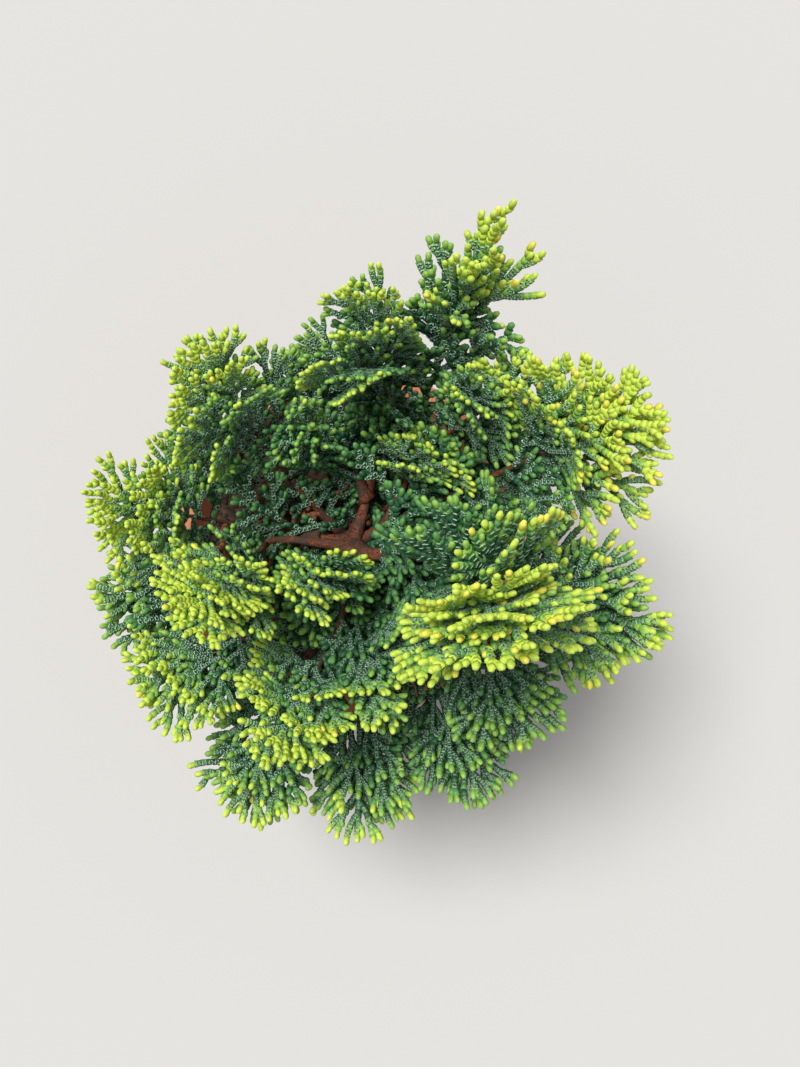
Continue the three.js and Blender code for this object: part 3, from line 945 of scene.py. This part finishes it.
def growFan(fan, dice):
    # a rib, branchlets on both its sides, and fingers in the room that is left between them
    s = sprayLook
    length = fan["length"]
    stride = s["pitch"] * fan["fine"]
    index, own, rake = fan["index"], fan["own"], fan["rake"]
    fan["fingers"] = 0
    fan["taken"] = []
    if not all(hasRoom(onFan(fan, length * s["footRoom"] * i / 3, 0), index, own) for i in (1, 2, 3)):
        return
    ribSteps = round(length * s["ribShare"] / stride)
    rib, ribName = growFinger(fan, (0, 0, 0), 0.0, ribSteps, 0.0, 0, 0, dice)
    ribReach = rib[-1][0]

    u = length * (s["firstStation"] if own else s["firstOnSprig"])
    side = 1 if dice.random() < 0.5 else -1
    branchlets = []
    while u < min(length * s["lastStation"], ribReach):
        share = u / length
        angle = radians(rake * lerp(s["baseAngle"], s["tipAngle"], share) + sway(dice, s["angleSway"]))
        outline = sin(pi * (s["shell"][0] + s["shell"][1] * share))
        law = fan["slim"] * length * s["wide"] * outline / sqrt(rake)
        law *= 1 - fan["taper"] * share
        rim = (length - u) / max(s["rimLeast"], cos(angle * s["rimLean"]))
        law = min(law * draw(dice, *s["branchletVary"]), rim)
        tilt = sway(dice, s["branchletTilt"])
        footSide, footSway = s["branchletFoot"]
        start = (u, footSide * side, sway(dice, footSway))
        passed, name = growFinger(fan, start, side * angle, max(s["shortest"], round(law / stride)), tilt,
                                  s["branchletBend"], ribName, dice)
        branchlets.append((passed, name, law, side, tilt))
        side = -side
        u += s["stationGap"] * fan["fine"] * draw(dice, *s["stationVary"])

    for passed, name, law, side, tilt in branchlets:
        hand = side
        for j, (*place, way) in enumerate(passed[:-1]):
            hand = -hand
            room = (law - (j + 1) * stride) * s["fingerShare"]
            steps = round(min(s["fingerLongest"], room) / stride)
            if steps < (s["shortestRaked"] if rake < 1 else s["shortest"]):
                continue
            spread = radians(s["fingerAngle"] * rake + sway(dice, s["fingerSway"]))
            growFinger(fan, place, way + hand * spread, steps, tilt + sway(dice, s["fingerTilt"]),
                       s["fingerBend"], name, dice)
    path = [onFan(fan, ribReach * i / s["twigSteps"], 0) for i in range(s["twigSteps"] + 1)]
    twigs.append((path, *[s["twigRadius"] * share for share in s["twigTaper"]]))


# Smaller fans lie round each of the solids' fans, as the tiers of a spray do. A place is how many tilts up,
# how many turns to the side for each of them, and the share of the glow that is left: painted shade, darkest
# on the low skirt.
companionLook = {
    "tilt": 16,
    "tiltVary": (0.8, 0.4),
    "turn": 22,
    "turnVary": (0.75, 0.5),
    "fullSpread": 44,
    "slide": 2.2,
    "slideSway": 3,
    "length": 0.9,
    "lengthVary": (0.88, 0.2),
    "under": [(-1, 0.6, 0.95)],
    "round": [(1, 0.6, 0.7), (0.6, -1.9, 0.7), (-0.6, -1.9, 0.95)],
    "skirt": [(-2.4, 0.2, 0.4)],
    "skirtReach": 55,
    "skirtLift": 35,
    "beside": [(0.4, 5.5, 0.7), (0.4, -5.5, 0.7)],
    "besideLift": 30,
}


def companionsOf(fan, mass, dice):
    s = companionLook
    if mass["alone"]:
        return []
    narrow = min(1, mass["spread"] / s["fullSpread"]) * fan["slim"]
    places = list(s["under"])
    if fan["back"] == 0:
        places += s["round"]
        if mass["reach"] > s["skirtReach"] and mass["lift"] > s["skirtLift"]:
            places += s["skirt"]
        if mass["lift"] < s["besideLift"]:
            places += s["beside"]
    made = []
    for up, out, shade in places:
        tilt = radians(up * s["tilt"] * draw(dice, *s["tiltVary"]))
        turn = radians(s["turn"] * narrow * up * out * fan["hand"])
        turn *= draw(dice, *s["turnVary"])
        axis = turned(fan["axis"], fan["across"], tilt)
        face = turned(fan["face"], fan["across"], tilt)
        axis = turned(axis, face, turn)
        across = turned(fan["across"], face, turn)
        slide = mass["along"] * (up * s["slide"] + sway(dice, s["slideSway"]))
        length = fan["length"] * s["length"] * draw(dice, *s["lengthVary"])
        made.append(dict(fan, foot=fan["foot"] + slide, axis=axis, across=across, face=face, length=length,
                         glow=fan["glow"] * shade))
    return made


# Short shaded sprigs clothe the boughs inside the crown, and rise round the top of the trunk.
sprigLook = {
    "start": 0.18,
    "gap": 4.4,
    "gapVary": (0.8, 0.4),
    "length": 21,
    "lengthVary": (0.75, 0.5),
    "turn": 58,
    "turnVary": (0.7, 0.5),
    "lift": (-10, -30),
    "look": 0.03,  # how far a sprig looks both ways for its bough's direction
    "steep": 0.2,
    "glow": 0.08,
    "glowOfSun": 0.16,
    "onTrunk": 22,
    "trunkFrom": 0.5,
    "trunkTurn": 137.5,
    "trunkTurnSpan": 20,
    "trunkGap": 1.6,
    "trunkLift": (20, 40),
    "trunkAim": 30,
    "trunkRoll": 50,
    "trunkVary": (0.8, 0.5),
    "trunkGlow": 0.15,
    "seed": 77,
}
sprigPlain = dict(back=0, blush=0, heart=0.2, frost=0.5, slim=1, rake=1, taper=0, fine=1, dry=False,
                  own=False)


def clothedLine(mass):
    # the bough, carried on up the bare foot of its mass's stem where the photo shows that clothed
    line = curves[mass["name"]]
    gap = (line[1] - line[0]).length
    count = round(mass["clothed"] * fanLook["stem"] * mass["size"] / gap)
    return line + [mass["stemStart"] + mass["along"] * (gap * (i + 1)) for i in range(count)]


def sprigsOf(mass, dice):
    s = sprigLook
    line = clothedLine(mass)
    length = sum((q - p).length for p, q in zip(line, line[1:]))
    made = []
    place = s["start"] * length
    side = 1
    while place < length:
        share = place / length
        foot = pointAt(line, share)
        along = (pointAt(line, share + s["look"]) - pointAt(line, share - s["look"])).normalized()
        across = Vector((0, 0, 1)).cross(along)
        if across.length < s["steep"]:
            across = mass["across"].copy()
        across.normalize()
        face = along.cross(across)
        turn = radians(side * s["turn"] * draw(dice, *s["turnVary"]))
        axis, across = turned(along, face, turn), turned(across, face, turn)
        lift = radians(draw(dice, *s["lift"]))
        axis, face = turned(axis, across, lift), turned(face, across, lift)
        size = s["length"] * draw(dice, *s["lengthVary"])
        look = dict(sprigPlain)
        shaded = hollowShare(foot) < hollow["fringe"]
        if shaded:
            dry = dice.random() < hollow["dryShare"]
            look.update(slim=hollow["slim"], frost=hollow["frost"], dry=dry)
        made.append(dict(look, foot=foot, axis=axis, across=across, face=face, length=size,
                         index=mass["index"],
                         glow=s["glow"] + s["glowOfSun"] * mass["sun"] * place / length))
        side = -side
        place += s["gap"] * draw(dice, *s["gapVary"]) * (hollow["gap"] if shaded else 1)
    return made


def trunkSprigs(dice):
    s = sprigLook
    made = []
    for i in range(s["onTrunk"]):
        share = lerp(s["trunkFrom"], 1, i / s["onTrunk"])
        out = heading(i * s["trunkTurn"] + s["trunkTurnSpan"] * dice.random(), 0)
        foot = pointAt(trunkLine, share) + out * (trunkRadius(share) + s["trunkGap"])
        lift = draw(dice, *s["trunkLift"])
        azimuth = degrees(atan2(out.y, out.x)) + sway(dice, s["trunkAim"])
        axis = heading(azimuth, lift)
        across = turned(heading(azimuth + 90, 0), axis, radians(sway(dice, s["trunkRoll"])))
        size = s["length"] * draw(dice, *s["trunkVary"])
        made.append(dict(sprigPlain, foot=foot, axis=axis, across=across, face=axis.cross(across),
                         length=size, index=0, glow=s["trunkGlow"]))
    return made


# The units that a finger is strung from. x runs along the finger, and z out of the fan's face.
whorl = {
    "sides": 6,
    "back": -0.55,
    "front": 1.4,
    "frontAtSides": 1.8,
    "width": 1.02,
    "thick": 0.86,
    "backSwell": 0.8,
    "sideSwell": 1.08,
    "sideFrom": 0.9,
    "leafFoot": (-0.9, 0.42),
    "leafTip": (1.75, 0.98),
    "leafBelly": 0.62,
    "leafHalves": (0.34, 0.42),
    "endSides": 5,
    "endProfile": [(-0.6, 0), (-0.6, 0.8), (1.25, 0.96), (2.0, 0.64), (2.3, 0)],
    "netWidth": 0.34,
    "netLift": 0.07,
    "netCorners": [(-0.2, 0, 0.92), (0.66, 0.8, 0.55), (1.5, 0, 1.0)],
}
lozengeFaces = [(0, 2, 4), (2, 1, 4), (1, 3, 4), (3, 0, 4), (2, 0, 5), (1, 2, 5), (3, 1, 5), (0, 3, 5)]


def scaleLeaf(side):
    # one side leaf as an eight-faced lozenge: tip, base, two sides, top and underside
    base, tip = (np.array((x, y * side, 0)) for x, y in (whorl["leafFoot"], whorl["leafTip"]))
    middle = base + (tip - base) * whorl["leafBelly"]
    across, up = (np.array(axis) * half for axis, half in zip(((0, 1, 0), (0, 0, 1)), whorl["leafHalves"]))
    return [tip, base, middle + across, middle - across, middle + up, middle - up]


def trianglesOf(bm):
    bmesh.ops.triangulate(bm, faces=bm.faces)
    bmesh.ops.recalc_face_normals(bm, faces=bm.faces)
    bm.verts.index_update()
    faces = [tuple(v.index for v in f.verts) for f in bm.faces]
    bm.free()
    return faces


def sleeve(withSides):
    # one whorl of scales: a six-sided cup, wider in front, whose side scales reach forward
    s = whorl
    bm = bmesh.new()
    bmesh.ops.create_cone(bm, cap_ends=True, cap_tris=False, segments=s["sides"], radius1=1, radius2=1,
                          depth=1)
    points = []
    for v in bm.verts:
        angle = atan2(v.co.y, v.co.x) + pi / s["sides"]
        y, z = cos(angle), sin(angle)
        isSide = abs(y) > s["sideFrom"]
        if v.co.z > 0:
            swell = s["sideSwell"] if isSide else 1.0
            reach = s["frontAtSides"] if isSide else s["front"]
        else:
            swell, reach = s["backSwell"], s["back"]
        points.append(np.array((reach, y * s["width"] * swell, z * s["thick"] * swell)))
    faces = trianglesOf(bm)
    if withSides:
        for side in (1, -1):
            faces += [tuple(i + len(points) for i in f) for f in lozengeFaces]
            points += scaleLeaf(side)
    return points, faces


def bluntEnd():
    # the last whorl of a finger: a short sleeve that closes in a dome
    bm = turnProfile([(x, r, 0) for x, r in whorl["endProfile"]], (1, 0, 0), whorl["endSides"], near=0.001)
    points = [np.array((v.co.x, v.co.y, v.co.z * whorl["thick"])) for v in bm.verts]
    return points, trianglesOf(bm)


def net():
    # the pale lines where scales meet: a diamond of four thin strips above the whorl and a fork of two below
    points, faces = [], []
    base, left, tip = whorl["netCorners"]
    strips = [(base, left, 1, 1), (left, tip, 1, 1), (base, left, -1, 1), (left, tip, -1, 1),
              (left, tip, 1, -1), (left, tip, -1, -1)]
    for start, stop, side, up in strips:
        first = len(points)
        flip = np.array((1, side, up))
        start, stop = np.array(start) * flip, np.array(stop) * flip
        along = stop - start
        across = np.cross(along, (0, start[1] + stop[1], start[2] + stop[2]))
        across *= whorl["netWidth"] / 2 / np.linalg.norm(across)
        lift = np.array((0, 0, whorl["netLift"] * up))
        points += [start - across, start + across + lift, stop - across + lift, stop + across]
        for face in ((0, 1, 2), (1, 3, 2), (0, 3, 1), (0, 2, 3)):
            a, b, c = (points[first + i] for i in face)
            inside = sum(points[first:first + 4]) / 4
            out = np.dot(np.cross(b - a, c - a), (a + b + c) / 3 - inside) > 0
            faces.append(tuple(i + first for i in (face if out else reversed(face))))
    return points, faces


templates = {"plain": sleeve(False), "scaled": sleeve(True), "bloom": net(), "tip": bluntEnd()}


def leafFinish(name):
    look = leafColours[name]
    material = newMaterial(name + " scale leaf", look["colour"], look["roughness"], specular=0.35)
    speckle = addNoise(material, scale=900, detail=3)
    shades = [[min(1, c * share) for c in look["colour"][:3]] + [1] for share in sprayLook["speckle"]]
    setColour(material, addRamp(material, speckle, zip((0.3, 0.7), shades)))
    return material


foliageNodes = ["foliage_" + mass["name"] for mass in masses]


def joinUnits(name, batches, material):
    # batches are (template, units); every unit is the template placed, turned and sized
    allPoints, allFaces, count = [], [], 0
    for template, units in batches:
        if not units:
            continue
        shape, faces = (np.array(part) for part in templates[template])
        places = np.array([u[0] for u in units])
        axes = np.array([[u[1], u[2], u[3]] for u in units])
        sizes = np.array([u[4] for u in units])
        points = places[:, None] + np.einsum("pk,nkc->npc", shape, axes) * sizes[:, None, None]
        steps = np.arange(len(units))[:, None, None] * len(shape)
        allFaces.append((faces[None] + steps + count).reshape(-1, 3))
        allPoints.append(points.reshape(-1, 3))
        count += len(units) * len(shape)
    points = np.concatenate(allPoints) * toMetres
    faces = np.concatenate(allFaces)
    mesh = bpy.data.meshes.new(name)
    mesh.from_pydata(points.tolist(), [], faces.tolist())
    piece = addObject(name, mesh, material)
    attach(piece, "root")
    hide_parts(*foliageNodes)
    return len(faces)


# a mass's stem, whose upper part carries leaves of its own
stemLook = {
    "bare": 0.3,
    "leafy": 0.7,
    "glow": 0.3,
    "steps": 6,
}


def growStem(mass, dice):
    s = stemLook
    stem = [mass["stemStart"].lerp(mass["stemEnd"], i / s["steps"]) for i in range(s["steps"] + 1)]
    twigs.append((stem, boughLook["tipRadius"], sprayLook["twigRadius"]))
    fan = dict(sprigPlain, heart=0, frost=1, foot=mass["stemStart"], axis=mass["along"],
               across=mass["across"], face=mass["over"], length=mass["size"], glow=s["glow"] * mass["sun"],
               index=mass["index"], own=True, fingers=0, taken=[])
    length = fanLook["stem"] * mass["size"]
    steps = round(s["leafy"] * length / sprayLook["pitch"])
    growFinger(fan, (s["bare"] * length, 0, 0), 0.0, steps, 0.0, 0, 0, dice)


def dressFan(fan, mass, dice):
    # gives a fan its mass's looks; those at the back and those that lean inwards are darker and plainer,
    # painted shade over the plant's own greener inner leaves
    s = sprayLook
    lean = fan["axis"].dot(heading(mass["heading"], 0))
    outward = clamp((lean + s["outwardFrom"]) / s["outwardSpan"])
    sunlit = mass["sun"] * (1 - fan["back"]) ** s["glowFade"] * lerp(mass["away"], 1, outward)
    fan.update({key: mass[key] for key in ("index", "rake", "fine", "blush", "heart", "frost")})
    fan.update(own=True, dry=False, glow=sunlit + sway(dice, s["glowSway"]),
               hand=1 if dice.random() < 0.5 else -1, slim=lerp(mass["slim"], 1, fan["back"]),
               taper=mass["taper"] * (1 - fan["back"]))


for mass in masses:
    dice = random.Random(sprayLook["seed"] + mass["index"])
    growStem(mass, dice)
    for fan in fansOf(mass):
        dressFan(fan, mass, dice)
        growFan(fan, dice)
        for companion in companionsOf(fan, mass, dice):
            growFan(companion, dice)
    for sprig in sprigsOf(mass, dice):
        growFan(sprig, dice)
for sprig in trunkSprigs(random.Random(sprigLook["seed"])):
    growFan(sprig, dice)

most = sprayLook["mostUnits"]
total = 0
for name, look in leafColours.items():
    material = leafFinish(name)
    body, tips = innerUnits[name], endUnits[name]
    together = [(look["template"], u) for u in body] + [("tip", u) for u in tips]
    for part in range(0, len(together), most):
        chunk = together[part:part + most]
        batches = [(t, [u for kind, u in chunk if kind == t]) for t in (look["template"], "tip")]
        total += joinUnits(f"leaves_{name}_{part // most + 1}", batches, material)
    print(name, len(body), "units and", len(tips), "tips")

bm = bmesh.new()
for path, first, last in twigs:
    limbInto(bm, path, lambda share, angle: lerp(first, last, share), sprayLook["twigSides"],
             len(path) - 1, relief=False)
finishPiece(bm, "twigs", bark, foliageNodes)
print("foliage has", total, "faces,", len(twigs), "twigs")
